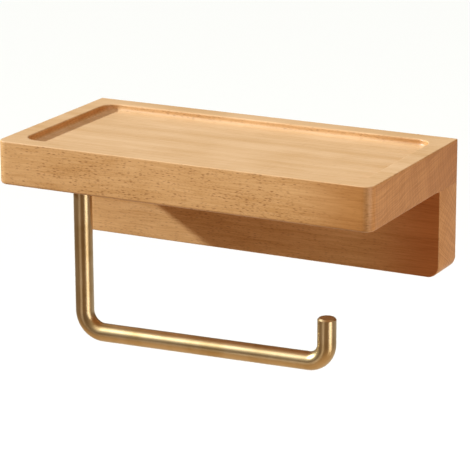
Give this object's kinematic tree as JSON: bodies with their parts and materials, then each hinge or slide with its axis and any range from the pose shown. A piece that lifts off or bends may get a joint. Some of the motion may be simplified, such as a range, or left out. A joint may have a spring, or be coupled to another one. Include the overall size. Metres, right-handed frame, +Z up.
{
  "type": "toilet paper holder",
  "caption": "Wall-hung beech shelf with a shallow recess on top and a bent brass rod below, open at its right-hand end, that carries a paper roll.",
  "frame": {"origin": "on the wall plane, midway between the entry holes of the two keyhole hangers", "axes": "+X to the right when facing the wall, along the shelf; +Y into the wall; +Z up"},
  "size_m": [0.18, 0.0927, 0.0989],
  "materials": {
    "oiled_beech": "sanded smooth and thinly oiled",
    "satin_brass": "satin, brushed along its length, clear lacquered",
    "insert_brass": "turned",
    "plated_steel": "bright zinc plated"
  },
  "bodies": {
    "shelf": {"shelf_tray": "oiled_beech", "back_plate": "oiled_beech", "dowel_left": "oiled_beech", "dowel_middle": "oiled_beech", "dowel_right": "oiled_beech", "rod_insert": "insert_brass", "hanger_left": "plated_steel", "hanger_right": "plated_steel", "hanger_screw_left_upper": "plated_steel", "hanger_screw_left_lower": "plated_steel", "hanger_screw_right_upper": "plated_steel", "hanger_screw_right_lower": "plated_steel"},
    "rod": {"paper_rod": "satin_brass"}
  },
  "joints": [
    {"name": "rod_swivel", "type": "hinge", "parent": "shelf", "child": "rod", "pos_m": [-0.0683, -0.05605, 0.0164], "axis": [0, 0, 1], "range_deg": [-90, 0]}
  ]
}
